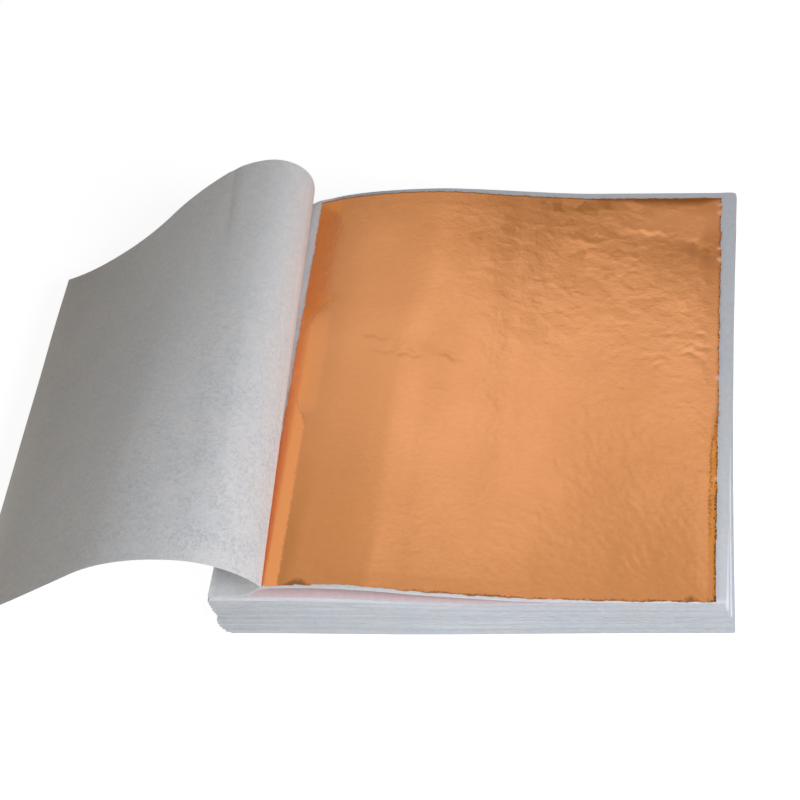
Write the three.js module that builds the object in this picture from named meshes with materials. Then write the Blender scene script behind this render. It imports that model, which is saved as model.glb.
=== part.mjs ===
// A booklet of loose copper leaf: a stack of folded tissues, each with one square of foil inside.
// The top tissue is open. Its upper half is turned over to the left in a conical roll, and its lower
// half arches off the stack with the first leaf lying on it.
// Millimetres, +Z up. The origin is the centre of the underside of the lowest tissue.

import * as THREE from 'three';

// Tissue and foil as they are cut
const TISSUE_WIDTH = 91.2;
const TISSUE_DEPTH = 85.9;
const TISSUE_THICKNESS = 0.08;
const LEAF_WIDTH = 80;
const LEAF_DEPTH = 84;
const LEAF_THICKNESS = 0.03;
const LEAF_FROM_FOLD = 9.95;
const LEAF_FROM_FRONT = 0.45;
const LEAF_DECKLE = 0.22;

// The stack, which is thicker along its folds than along its fore-edge
const FOLDS_IN_STACK = 24;
const FOLDS_IN_LOWER_SECTION = 10;
const STACK_AT_FORE_EDGE = 10.9;
const STACK_AT_FOLDS = 13.8;
const SWELL_START = 12;
const SWELL_END = 52;
const SWELL_STEPS = 6;
const SECTION_GAP = 0.06;
const FORE_EDGE_SETBACK = 1.1;
const UPPER_SECTION_TRIM = 0.3;
const LOWER_SECTION_TURN = 0.3;
const FRONT_EDGE_SETBACK = 0.45;
const STACK_WANDER = 0.16;

// How the pitch from one fold to the next is shared by tissue, foil and air
const PITCH_SHARE = { tissueStart: 0.04, tissueEnd: 0.42, leafStart: 0.47, leafEnd: 0.53 };

// Outline of the folded ends: [share of the stack's height, distance out past the top fold]
const FOLD_OUTLINE = [
  [0, 1.1], [0.06, 1.8], [0.2, 2.2], [0.32, 2.1], [0.4, 1.8], [0.44, 1.35], [0.6, 1.55], [0.8, 1.2],
  [0.88, 0.85], [1, 0.1],
];
const FOLD_ARC_STEPS = 5;

// Top tissue: how far its lower half lifts off the stack, as [distance from fold, lift]
const LIFT_AT_FRONT = [
  [0, 0.15], [4.2, 0.13], [6.1, 0.38], [8.5, 1.36], [10, 2.4], [11.3, 3.2], [12.6, 3.55], [14.4, 3.68],
  [17.4, 3.82], [20.9, 3.98], [24.5, 3.98], [28, 3.9], [31.5, 3.75], [35, 3.4], [38.2, 3.0], [41.7, 2.68],
  [45.1, 2.38], [48.5, 1.98], [51.9, 1.5], [55.2, 1.08], [58.6, 0.74], [63.7, 0.4], [70.4, 0.2],
  [78.6, 0.1], [88, 0.06],
];
const LIFT_AT_BACK = [
  [0, 0.15], [2.9, 1.3], [5.2, 3.1], [6.7, 4.6], [8.8, 5.75], [12, 6.3], [15.3, 6.86], [21.4, 7.5],
  [28.7, 7.95], [35.9, 8.1], [41.4, 7.66], [46.9, 6.9], [52.3, 5.83], [57.7, 4.68], [63.1, 3.7],
  [68.5, 2.98], [76.5, 1.98], [84.5, 1.0], [91, 0.35],
];
const TOP_FOLD_RADIUS = 0.2;
const TOP_FORE_EDGE_FLARE = 1.1;
const ROOT_CLEARANCE = 0.35;
const SHEET_CLEARANCE = 0.06;
const PAGE_STEP = 3.2;
const FINE_STEP = 1.4;
const FINE_UNTIL = 18;

// The roll: where the upper half leaves the page, and the line where it stands upright and is turned
const ROLL_AT_FRONT = { leavesPage: 10.8, x: 11.76, lift: 4.06, reach: 0.2 };
const ROLL_AT_BACK = { leavesPage: 5.7, x: 9.85, lift: 14.2, reach: 3.66 };
const ROLL_HEADING = 98;
const ROLL_STEPS = 6;
const TURN_GAP = 0.1;

// The turned half from that line to its free edge, as arcs of [length, turn in degrees]
const TURNED_ARCS_FRONT = [[12.3, 38.3], [5.3, 21.9], [21.1, 47.4], [19.2, -1.3], [20.3, 28.6]];
const TURNED_ARCS_BACK = [[9.6, 77], [9.4, 28.7], [18.4, 11.7], [22.9, -12.7], [12.5, -11.9]];
const TURNED_SKEW = 2.79;
const TURNED_ARC_STEPS = 6;
const ROWS = 10;

const tissueMaterial = new THREE.MeshStandardMaterial({ color: 0xc9ced6, roughness: 0.85, metalness: 0 });
const turnedMaterial = new THREE.MeshStandardMaterial({ color: 0xa9a8a6, roughness: 0.85, metalness: 0 });
const copperMaterial = new THREE.MeshStandardMaterial({ color: 0xde9664, roughness: 0.28, metalness: 1 });

const booklet = new THREE.Group();
const fromFold = new THREE.Group();
fromFold.position.set(-TISSUE_WIDTH / 2, -TISSUE_DEPTH / 2, 0);
booklet.add(fromFold);

function add(name, geometry, material) {
  const mesh = new THREE.Mesh(geometry, material);
  mesh.name = name;
  fromFold.add(mesh);
  return mesh;
}

// Straight-line reading of a table of [position, value]
function read(table, position) {
  if (position <= table[0][0]) return table[0][1];
  for (let i = 1; i < table.length; i += 1) {
    const [x0, y0] = table[i - 1];
    const [x1, y1] = table[i];
    if (position <= x1) return y0 + ((y1 - y0) * (position - x0)) / (x1 - x0);
  }
  return table[table.length - 1][1];
}

// Smooth curve through a table of [position, value], level at both ends
function readSmooth(table, position) {
  const last = table.length - 1;
  const slope = (i) => (i === 0 || i === last
    ? 0
    : (table[i + 1][1] - table[i - 1][1]) / (table[i + 1][0] - table[i - 1][0]));
  for (let i = 1; i <= last; i += 1) {
    const [x0, y0] = table[i - 1];
    const [x1, y1] = table[i];
    if (position <= x1) {
      const span = x1 - x0;
      const t = Math.max(0, (position - x0) / span);
      const t2 = t * t;
      const t3 = t2 * t;
      return (2 * t3 - 3 * t2 + 1) * y0 + (t3 - 2 * t2 + t) * span * slope(i - 1)
        + (3 * t2 - 2 * t3) * y1 + (t3 - t2) * span * slope(i);
    }
  }
  return table[last][1];
}

// Height of the closed stack at a distance x from the folds
function stackHeight(x) {
  const t = THREE.MathUtils.clamp((x - SWELL_START) / (SWELL_END - SWELL_START), 0, 1);
  const swell = (1 + Math.cos(Math.PI * t)) / 2;
  return STACK_AT_FORE_EDGE + (STACK_AT_FOLDS - STACK_AT_FORE_EDGE) * swell;
}

const swellSamples = [];
for (let i = 0; i <= SWELL_STEPS; i += 1) {
  swellSamples.push(SWELL_START + ((SWELL_END - SWELL_START) * i) / SWELL_STEPS);
}

// Height of a level of the stack; levels count folds and may lie inside one
function levelHeight(level, x) {
  const gap = level >= FOLDS_IN_LOWER_SECTION ? SECTION_GAP : 0;
  return (stackHeight(x) * level) / FOLDS_IN_STACK + gap;
}

// Hand-stacked sheets never line up: a small repeatable offset for each
function wander(index, phase) {
  return STACK_WANDER * Math.sin(index * 2.4 + phase) * Math.cos(index * 0.9 + phase * 2);
}

// Extrudes an outline drawn in x and z from front to back
function extrudeDepth(outline, depth) {
  const shape = new THREE.Shape(outline.map(([x, z]) => new THREE.Vector2(x, z)));
  const geometry = new THREE.ExtrudeGeometry(shape, { depth, bevelEnabled: false });
  geometry.rotateX(Math.PI / 2);
  geometry.translate(0, depth, 0);
  return geometry;
}

// How far a folded tissue's fore-edge lies back in front; the fore-edges are flush at the back
const stepBack = (index) => FORE_EDGE_SETBACK * Math.max(0, (2 * index + 1) / FOLDS_IN_STACK - 1);

// One tissue folded in half, with its fold at the left: a long, flat U
function foldedTissue(index) {
  const share = (index + 0.5) / FOLDS_IN_STACK;
  const left = -read(FOLD_OUTLINE, share) + wander(index, 0.4);
  const foreEdge = TISSUE_WIDTH - (index < FOLDS_IN_LOWER_SECTION ? 0 : UPPER_SECTION_TRIM);
  const right = foreEdge - stepBack(index) + wander(index, 1.7);
  const level = (part) => index + part;
  const { tissueStart, tissueEnd } = PITCH_SHARE;
  const underside = index === 0 ? 0 : tissueStart;
  const low = levelHeight(level(underside), left);
  const high = levelHeight(level(1 - tissueStart), left);
  const innerLow = levelHeight(level(tissueEnd), left);
  const innerHigh = levelHeight(level(1 - tissueEnd), left);
  const middle = (low + high) / 2;
  const outerRadius = (high - low) / 2;
  const innerRadius = (innerHigh - innerLow) / 2;
  const centre = left + outerRadius;

  const arc = (radius, from, to) => {
    const points = [];
    for (let i = 0; i <= FOLD_ARC_STEPS; i += 1) {
      const angle = THREE.MathUtils.degToRad(from + ((to - from) * i) / FOLD_ARC_STEPS);
      points.push([centre + radius * Math.cos(angle), middle + radius * Math.sin(angle)]);
    }
    return points;
  };
  const run = (part) => [...swellSamples, right].map((x) => [x, levelHeight(level(part), x)]);

  const outline = [
    ...arc(outerRadius, 90, 270),
    ...run(underside),
    ...run(tissueEnd).reverse(),
    ...arc(innerRadius, 270, 90),
    ...run(1 - tissueEnd),
    ...run(1 - tissueStart).reverse(),
  ];
  const geometry = extrudeDepth(outline, TISSUE_DEPTH);
  const places = geometry.attributes.position;
  for (let i = 0; i < places.count; i += 1) {
    if (places.getX(i) > SWELL_END + 1) {
      places.setX(i, places.getX(i) + (stepBack(index) * places.getY(i)) / TISSUE_DEPTH);
    }
  }
  return geometry;
}

// The flat foil inside a folded tissue of the stack
function stackedLeaf(index) {
  const left = LEAF_FROM_FOLD - FORE_EDGE_SETBACK + wander(index, 2.6);
  const right = left + LEAF_WIDTH;
  const samples = [left, ...swellSamples.filter((x) => x > left), right];
  const run = (part) => samples.map((x) => [x, levelHeight(index + part, x)]);
  return extrudeDepth([...run(PITCH_SHARE.leafStart), ...run(PITCH_SHARE.leafEnd).reverse()], LEAF_DEPTH);
}

// The lower section was set down a little askew: it is turned about its front corner at the fore-edge
function turnLowerSection(mesh) {
  const pivot = new THREE.Vector3(TISSUE_WIDTH, 0, 0);
  mesh.rotation.z = THREE.MathUtils.degToRad(LOWER_SECTION_TURN);
  mesh.position.sub(pivot).applyEuler(mesh.rotation).add(pivot);
}

for (let index = 0; index < FOLDS_IN_STACK; index += 1) {
  const number = String(FOLDS_IN_STACK + 1 - index).padStart(2, '0');
  const frontSetback = (FRONT_EDGE_SETBACK * index) / FOLDS_IN_STACK;
  const tissue = add(`tissue_${number}`, foldedTissue(index), tissueMaterial);
  tissue.position.y = frontSetback + wander(index, 4.1);
  const leaf = add(`leaf_${number}`, stackedLeaf(index), copperMaterial);
  leaf.position.y = frontSetback + (TISSUE_DEPTH - LEAF_DEPTH) / 2 + wander(index, 5.3);
  if (index < FOLDS_IN_LOWER_SECTION) [tissue, leaf].forEach(turnLowerSection);
}

// Distances from the fold at which the top page and everything lying on it are sampled
const topFoldX = -read(FOLD_OUTLINE, 1);
const topForeEdgeX = topFoldX + TISSUE_WIDTH - TOP_FOLD_RADIUS;
const pageSamples = [];
for (let x = topFoldX + TOP_FOLD_RADIUS; x < topForeEdgeX - PAGE_STEP / 2; x += x < FINE_UNTIL ? FINE_STEP : PAGE_STEP) {
  pageSamples.push(x);
}
pageSamples.push(topForeEdgeX);

// Height of the page's middle surface at a sample, then anywhere by straight lines between samples.
// across runs from 0 at the front edge to 1 at the back.
const stackTop = (x) => stackHeight(x) + SECTION_GAP + SHEET_CLEARANCE;
const pageTables = [LIFT_AT_FRONT, LIFT_AT_BACK].map((lifts) => pageSamples.map((x) => [
  x, stackTop(x) + readSmooth(lifts, x - topFoldX),
]));
function pageHeight(x, across) {
  return THREE.MathUtils.lerp(read(pageTables[0], x), read(pageTables[1], x), across);
}

// A thin sheet as one closed solid. rows run from front to back, each row is one profile, and half
// the thickness is laid on each side of the middle surface.
function sheetSolid(rows, thickness) {
  const rowCount = rows.length;
  const columnCount = rows[0].length;
  const faces = [1, -1].map((side) => rows.map((row, j) => row.map((point, i) => {
    const along = row[Math.min(i + 1, columnCount - 1)].clone().sub(row[Math.max(i - 1, 0)]);
    const acrossRow = rows[Math.min(j + 1, rowCount - 1)][i].clone().sub(rows[Math.max(j - 1, 0)][i]);
    const normal = along.cross(acrossRow).normalize();
    return point.clone().addScaledVector(normal, (side * thickness) / 2);
  })));
  const positions = [];
  const triangle = (a, b, c) => positions.push(...a.toArray(), ...b.toArray(), ...c.toArray());
  const quad = (a, b, c, d) => {
    triangle(a, b, c);
    triangle(a, c, d);
  };
  const [upper, lower] = faces;
  for (let j = 0; j + 1 < rowCount; j += 1) {
    for (let i = 0; i + 1 < columnCount; i += 1) {
      quad(upper[j][i], upper[j][i + 1], upper[j + 1][i + 1], upper[j + 1][i]);
      quad(lower[j][i], lower[j + 1][i], lower[j + 1][i + 1], lower[j][i + 1]);
    }
    const end = columnCount - 1;
    quad(lower[j][0], upper[j][0], upper[j + 1][0], lower[j + 1][0]);
    quad(upper[j][end], lower[j][end], lower[j + 1][end], upper[j + 1][end]);
  }
  const back = rowCount - 1;
  for (let i = 0; i + 1 < columnCount; i += 1) {
    quad(lower[0][i], lower[0][i + 1], upper[0][i + 1], upper[0][i]);
    quad(upper[back][i], upper[back][i + 1], lower[back][i + 1], lower[back][i]);
  }
  const geometry = new THREE.BufferGeometry();
  geometry.setAttribute('position', new THREE.Float32BufferAttribute(positions, 3));
  geometry.computeVertexNormals();
  return geometry;
}

// Rows of a surface ruled between a front profile and a back profile
function ruledRows(front, back) {
  const rows = [];
  for (let j = 0; j <= ROWS; j += 1) {
    rows.push(front.map((point, i) => point.clone().lerp(back[i], j / ROWS)));
  }
  return rows;
}

// The upright line of the roll at the front or back edge
function rollPoint(roll, y) {
  const x = topFoldX + roll.x;
  return new THREE.Vector3(x, y, stackTop(x) + roll.lift);
}

const headingVector = (degrees) => {
  const angle = THREE.MathUtils.degToRad(degrees);
  return new THREE.Vector3(Math.cos(angle), 0, Math.sin(angle));
};

const topFrontY = FRONT_EDGE_SETBACK;
const topBackY = topFrontY + TISSUE_DEPTH;
const rollFront = rollPoint(ROLL_AT_FRONT, topFrontY);
const rollBack = rollPoint(ROLL_AT_BACK, topBackY);

// Top tissue, fixed part: from the fore-edge along the page, round the fold, back over the page as
// far as the roll reaches, and up to the roll's upright line
function topTissueProfile(across, y, roll, upright) {
  const page = pageSamples.map((sample) => {
    const share = Math.max(0, (sample - SWELL_END) / (topForeEdgeX - SWELL_END));
    const x = sample + TOP_FORE_EDGE_FLARE * across * share;
    return new THREE.Vector3(x, y, pageHeight(x, across));
  }).reverse();
  const foldCentre = page[page.length - 1].clone();
  foldCentre.z += TOP_FOLD_RADIUS;
  const fold = [];
  for (let i = 1; i < FOLD_ARC_STEPS; i += 1) {
    const angle = Math.PI * (1.5 - i / FOLD_ARC_STEPS);
    fold.push(new THREE.Vector3(Math.cos(angle), 0, Math.sin(angle)).multiplyScalar(TOP_FOLD_RADIUS).add(foldCentre));
  }
  const rootEnd = topFoldX + roll.leavesPage;
  const rootStart = topFoldX + TOP_FOLD_RADIUS;
  const rootCount = Math.round(ROLL_AT_FRONT.leavesPage / FINE_STEP);
  const root = [];
  for (let i = 0; i <= rootCount; i += 1) {
    const x = THREE.MathUtils.lerp(rootStart, rootEnd, i / rootCount);
    const clearance = THREE.MathUtils.lerp(2 * TOP_FOLD_RADIUS, ROOT_CLEARANCE, i / rootCount);
    root.push(new THREE.Vector3(x, y, pageHeight(x, across) + clearance));
  }
  const leaving = root[rootCount].clone().sub(root[rootCount - 1]).normalize();
  const end = upright.clone().addScaledVector(headingVector(ROLL_HEADING), -TURN_GAP / 2);
  const curl = new THREE.CubicBezierCurve3(
    root[rootCount],
    root[rootCount].clone().addScaledVector(leaving, roll.reach),
    end.clone().addScaledVector(headingVector(ROLL_HEADING), -roll.reach),
    end,
  );
  return [...page, ...fold, ...root, ...curl.getPoints(ROLL_STEPS).slice(1)];
}

add('tissue_01_page', sheetSolid(ruledRows(
  topTissueProfile(0, topFrontY, ROLL_AT_FRONT, rollFront),
  topTissueProfile(1, topBackY, ROLL_AT_BACK, rollBack),
), TISSUE_THICKNESS), tissueMaterial);

// Top tissue, turned part: a chain of arcs that also drifts to the front, because the roll is a cone
function turnedProfile(upright, arcs) {
  const skew = THREE.MathUtils.degToRad(TURNED_SKEW);
  const acrossRoll = new THREE.Vector3(Math.cos(skew), Math.sin(skew), 0).multiplyScalar(Math.cos(skew));
  const alongRoll = new THREE.Vector3(-Math.sin(skew), Math.cos(skew), 0).multiplyScalar(-Math.sin(skew));
  const point = upright.clone().addScaledVector(headingVector(ROLL_HEADING), TURN_GAP / 2);
  const points = [point.clone()];
  let heading = ROLL_HEADING;
  for (const [length, turn] of arcs) {
    const step = length / TURNED_ARC_STEPS;
    for (let i = 0; i < TURNED_ARC_STEPS; i += 1) {
      const angle = THREE.MathUtils.degToRad(heading + turn / TURNED_ARC_STEPS / 2);
      point.addScaledVector(acrossRoll, step * Math.cos(angle));
      point.addScaledVector(alongRoll, step);
      point.z += step * Math.sin(angle) * Math.cos(skew);
      heading += turn / TURNED_ARC_STEPS;
      points.push(point.clone());
    }
  }
  return points;
}

add('tissue_01_turned_half', sheetSolid(ruledRows(
  turnedProfile(rollFront, TURNED_ARCS_FRONT),
  turnedProfile(rollBack, TURNED_ARCS_BACK),
), TISSUE_THICKNESS), turnedMaterial);

// The first leaf follows the page. Its edges are torn, so the outermost points wander a little.
function topLeafRows() {
  const lift = SHEET_CLEARANCE + (TISSUE_THICKNESS + LEAF_THICKNESS) / 2;
  const left = topFoldX + LEAF_FROM_FOLD;
  const arcLength = (from, to) => Math.hypot(to - from, pageHeight(to, 0.5) - pageHeight(from, 0.5));
  const samples = [left];
  let width = 0;
  for (const x of pageSamples.filter((sample) => sample > left)) {
    const previous = samples[samples.length - 1];
    const step = arcLength(previous, x);
    if (width + step >= LEAF_WIDTH) break;
    width += step;
    samples.push(x);
  }
  const last = samples[samples.length - 1];
  samples.push(last + (LEAF_WIDTH - width));
  const columns = samples.length - 1;
  const tear = (n) => LEAF_DECKLE * (Math.sin(n * 2.1) + Math.sin(n * 5.3 + 1)) / 2;
  const rows = [];
  for (let j = 0; j <= ROWS; j += 1) {
    rows.push(samples.map((sample, i) => {
      const tornX = i === columns || i === 0 ? tear(j + 3 * i) : 0;
      const tornY = j === 0 || j === ROWS ? tear(i * 1.3 + 7 * j) : 0;
      const x = sample + tornX;
      const y = topFrontY + LEAF_FROM_FRONT + (LEAF_DEPTH * j) / ROWS + tornY;
      return new THREE.Vector3(x, y, pageHeight(x, (y - topFrontY) / TISSUE_DEPTH) + lift);
    }));
  }
  return rows;
}

add('leaf_01', sheetSolid(topLeafRows(), LEAF_THICKNESS), copperMaterial);

export default booklet;
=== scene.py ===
"""Copper leaf booklet: one open tissue with its sheet of foil, on a stack of folded tissues."""
import math

import bpy
import numpy as np
from mathutils import Matrix, Vector


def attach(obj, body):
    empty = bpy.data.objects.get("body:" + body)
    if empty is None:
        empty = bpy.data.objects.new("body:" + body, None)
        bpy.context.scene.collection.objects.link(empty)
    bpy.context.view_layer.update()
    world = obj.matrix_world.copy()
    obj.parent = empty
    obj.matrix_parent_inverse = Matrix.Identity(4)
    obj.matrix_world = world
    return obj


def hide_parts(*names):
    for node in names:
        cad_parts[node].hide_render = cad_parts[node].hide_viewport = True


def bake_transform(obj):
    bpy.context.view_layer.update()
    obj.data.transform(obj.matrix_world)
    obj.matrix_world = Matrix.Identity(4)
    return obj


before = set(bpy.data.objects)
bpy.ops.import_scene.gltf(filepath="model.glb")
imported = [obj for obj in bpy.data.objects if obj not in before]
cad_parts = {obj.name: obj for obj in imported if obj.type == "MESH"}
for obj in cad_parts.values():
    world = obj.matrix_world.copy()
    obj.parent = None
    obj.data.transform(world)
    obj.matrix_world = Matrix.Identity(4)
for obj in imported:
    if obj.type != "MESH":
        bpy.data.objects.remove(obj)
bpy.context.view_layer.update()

MM = 0.001

# Sizes in millimetres, the same as in the part's source
TISSUE_WIDTH = 91.2
TISSUE_DEPTH = 85.9
LEAF_WIDTH = 80.0
LEAF_DEPTH = 84.0
LEAF_FROM_FOLD = 9.95
LEAF_FROM_FRONT = 0.45
FOLDS_IN_STACK = 24
FOLDS_IN_LOWER_SECTION = 10
STACK_AT_FORE_EDGE = 10.9
STACK_AT_FOLDS = 13.8
SWELL_START = 12.0
SWELL_END = 52.0
SECTION_GAP = 0.06
FORE_EDGE_SETBACK = 1.1
UPPER_SECTION_TRIM = 0.3
LOWER_SECTION_TURN = 0.3
FRONT_EDGE_SETBACK = 0.45
STACK_WANDER = 0.16
FOLD_OUTLINE = [
    (0, 1.1), (0.06, 1.8), (0.2, 2.2), (0.32, 2.1), (0.4, 1.8), (0.44, 1.35), (0.6, 1.55), (0.8, 1.2),
    (0.88, 0.85), (1, 0.1),
]
LIFT_AT_FRONT = [
    (0, 0.15), (4.2, 0.13), (6.1, 0.38), (8.5, 1.36), (10, 2.4), (11.3, 3.2), (12.6, 3.55), (14.4, 3.68),
    (17.4, 3.82), (20.9, 3.98), (24.5, 3.98), (28, 3.9), (31.5, 3.75), (35, 3.4), (38.2, 3.0), (41.7, 2.68),
    (45.1, 2.38), (48.5, 1.98), (51.9, 1.5), (55.2, 1.08), (58.6, 0.74), (63.7, 0.4), (70.4, 0.2),
    (78.6, 0.1), (88, 0.06),
]
LIFT_AT_BACK = [
    (0, 0.15), (2.9, 1.3), (5.2, 3.1), (6.7, 4.6), (8.8, 5.75), (12, 6.3), (15.3, 6.86), (21.4, 7.5),
    (28.7, 7.95), (35.9, 8.1), (41.4, 7.66), (46.9, 6.9), (52.3, 5.83), (57.7, 4.68), (63.1, 3.7),
    (68.5, 2.98), (76.5, 1.98), (84.5, 1.0), (91, 0.35),
]
TOP_FOLD_RADIUS = 0.2
TOP_FORE_EDGE_FLARE = 1.1
ROOT_CLEARANCE = 0.35
SHEET_CLEARANCE = 0.06
ROLL_AT_FRONT = {"leaves_page": 10.8, "x": 11.76, "lift": 4.06, "reach": 0.2}
ROLL_AT_BACK = {"leaves_page": 5.7, "x": 9.85, "lift": 14.2, "reach": 3.66}
ROLL_HEADING = 98.0
TURNED_ARCS_FRONT = [(12.3, 38.3), (5.3, 21.9), (21.1, 47.4), (19.2, -1.3), (20.3, 28.6)]
TURNED_ARCS_BACK = [(9.6, 77), (9.4, 28.7), (18.4, 11.7), (22.9, -12.7), (12.5, -11.9)]
TURNED_SKEW = 2.79
TISSUE_SOLID = 0.08
LEAF_SOLID = 0.03

# Sizes that only the scene uses, in millimetres
TOP_TISSUE_THICKNESS = 0.07
LEAF_THICKNESS = 0.02
FOLDS_PER_NODE = 5
LAYER_SHARE = 0.44
LAYER_MARGIN = 0.02
SHEET_JITTER = 0.1
FORE_EDGE_DIP = 0.5
FRONT_EDGE_BOW = 0.3

ORIGIN = np.array([-TISSUE_WIDTH / 2, -TISSUE_DEPTH / 2, 0.0])


# Camera, solved from the corners in the photograph, at (68.3, -141.8, 230.3) mm
CAMERA_TARGET = (25.348, 49.657, 0.0)
CAMERA_DISTANCE = 287.978
CAMERA_AZIMUTH = 0.537625
CAMERA_ELEVATION = 0.926664
CAMERA_ROLL = -0.49128
FOCAL_PIXELS = 1442.03
IMAGE_PIXELS = 800
SENSOR = 36.0


def make_camera():
    forward = Vector((
        -math.sin(CAMERA_AZIMUTH) * math.cos(CAMERA_ELEVATION),
        math.cos(CAMERA_AZIMUTH) * math.cos(CAMERA_ELEVATION),
        -math.sin(CAMERA_ELEVATION),
    ))
    level_right = forward.cross(Vector((0, 0, 1))).normalized()
    level_up = level_right.cross(forward)
    right = math.cos(CAMERA_ROLL) * level_right + math.sin(CAMERA_ROLL) * level_up
    up = -math.sin(CAMERA_ROLL) * level_right + math.cos(CAMERA_ROLL) * level_up
    place = (Vector(CAMERA_TARGET) + Vector(ORIGIN) - forward * CAMERA_DISTANCE) * MM
    data = bpy.data.cameras.new("camera")
    data.sensor_fit = "HORIZONTAL"
    data.sensor_width = SENSOR
    data.lens = FOCAL_PIXELS / IMAGE_PIXELS * SENSOR
    data.clip_start = 0.01
    data.clip_end = 20
    camera = bpy.data.objects.new("camera", data)
    bpy.context.collection.objects.link(camera)
    turn = Matrix((right, up, -forward)).transposed()
    camera.matrix_world = Matrix.Translation(place) @ turn.to_4x4()
    bpy.context.scene.camera = camera


make_camera()


# Curves and ramps. The tables are read as in the part's source.
def read(table, position):
    """Straight lines through a table of (position, value)."""
    return np.interp(position, [p for p, _ in table], [v for _, v in table])


def rise(value, start, end):
    """0 up to the start, 1 from the end on, and a straight line between them."""
    return np.clip((value - start) / (end - start), 0, 1)


def read_smooth(table, position):
    """Smooth curve through a table of (position, value), level at both ends."""
    places = np.array([p for p, _ in table], float)
    values = np.array([v for _, v in table], float)
    slopes = np.zeros_like(values)
    slopes[1:-1] = (values[2:] - values[:-2]) / (places[2:] - places[:-2])
    position = np.clip(np.asarray(position, float), places[0], places[-1])
    i = np.clip(np.searchsorted(places, position) - 1, 0, len(places) - 2)
    span = places[i + 1] - places[i]
    t = (position - places[i]) / span
    return ((2 * t**3 - 3 * t**2 + 1) * values[i] + (t**3 - 2 * t**2 + t) * span * slopes[i]
            + (3 * t**2 - 2 * t**3) * values[i + 1] + (t**3 - t**2) * span * slopes[i + 1])


def stack_height(x):
    t = rise(np.asarray(x, float), SWELL_START, SWELL_END)
    return STACK_AT_FORE_EDGE + (STACK_AT_FOLDS - STACK_AT_FORE_EDGE) * (1 + np.cos(np.pi * t)) / 2


def level_height(level, x):
    gap = SECTION_GAP if level >= FOLDS_IN_LOWER_SECTION else 0
    return stack_height(x) * level / FOLDS_IN_STACK + gap


def wander(index, phase):
    return STACK_WANDER * math.sin(index * 2.4 + phase) * math.cos(index * 0.9 + phase * 2)


TOP_FOLD_X = -float(read(FOLD_OUTLINE, 1))
TOP_FRONT_Y = FRONT_EDGE_SETBACK


def stack_top(x):
    return stack_height(x) + SECTION_GAP + SHEET_CLEARANCE


def page_height(x, across):
    """Height of the top page's middle surface; across is 0 at the front edge and 1 at the back."""
    front = stack_top(x) + read_smooth(LIFT_AT_FRONT, x - TOP_FOLD_X)
    back = stack_top(x) + read_smooth(LIFT_AT_BACK, x - TOP_FOLD_X)
    return front + (back - front) * across


# Repeatable smooth noise between -1 and 1
def smooth_noise(u, v, seed):
    lattice = np.random.RandomState(seed).uniform(-1, 1, (128, 128))
    iu, iv = np.floor(u).astype(int), np.floor(v).astype(int)
    fu, fv = u - iu, v - iv
    fu = fu**3 * (fu * (fu * 6 - 15) + 10)
    fv = fv**3 * (fv * (fv * 6 - 15) + 10)

    def at(a, b):
        return lattice[(iu + a) % 128, (iv + b) % 128]

    low = at(0, 0) * (1 - fu) + at(1, 0) * fu
    high = at(0, 1) * (1 - fu) + at(1, 1) * fu
    return low * (1 - fv) + high * fv


def layered_noise(u, v, seed):
    """Smooth noise with a finer and fainter layer over it."""
    return smooth_noise(u, v, seed) + smooth_noise(u * 2 + 7.3, v * 2 + 3.1, seed + 1) / 2


# Meshes
def new_object(name, points, faces, material, smooth_angle=35):
    """points are in millimetres from the fold's front end."""
    mesh = bpy.data.meshes.new(name)
    places = (np.asarray(points) + ORIGIN) * MM
    mesh.from_pydata([tuple(p) for p in places], [], faces)
    mesh.polygons.foreach_set("use_smooth", [True] * len(mesh.polygons))
    mesh.set_sharp_from_angle(angle=math.radians(smooth_angle))
    mesh.materials.append(material)
    mesh.update()
    piece = bpy.data.objects.new(name, mesh)
    bpy.context.collection.objects.link(piece)
    return piece


def grid_faces(rows, columns, start=0, flip=False):
    index = np.arange(rows * columns).reshape(rows, columns) + start
    quads = np.stack([index[:-1, :-1], index[:-1, 1:], index[1:, 1:], index[1:, :-1]], -1).reshape(-1, 4)
    return quads[:, ::-1] if flip else quads


def sheet(surface, thickness):
    """A closed thin solid round a middle surface, given as rows of points."""
    rows, columns, _ = surface.shape
    along = np.gradient(surface, axis=1)
    across = np.gradient(surface, axis=0)
    normal = np.cross(along, across)
    normal /= np.linalg.norm(normal, axis=2, keepdims=True)
    upper = (surface + normal * thickness / 2).reshape(-1, 3)
    lower = (surface - normal * thickness / 2).reshape(-1, 3)
    count = rows * columns
    faces = [grid_faces(rows, columns), grid_faces(rows, columns, count, True)]
    index = np.arange(count).reshape(rows, columns)
    rim = np.concatenate([index[0, :], index[1:, -1], index[-1, -2::-1], index[-2:0:-1, 0]])
    after = np.roll(rim, -1)
    faces.append(np.stack([after, rim, rim + count, after + count], -1))
    return np.concatenate([upper, lower]), np.concatenate(faces).tolist()


def set_attribute(piece, name, values):
    attribute = piece.data.attributes.new(name, "FLOAT", "POINT")
    attribute.data.foreach_set("value", np.asarray(values, np.float32).ravel())


def set_sheet_attributes(piece, values):
    """The same values on both sides of a sheet."""
    for name, value in values.items():
        set_attribute(piece, name, np.tile(value.ravel(), 2))


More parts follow.
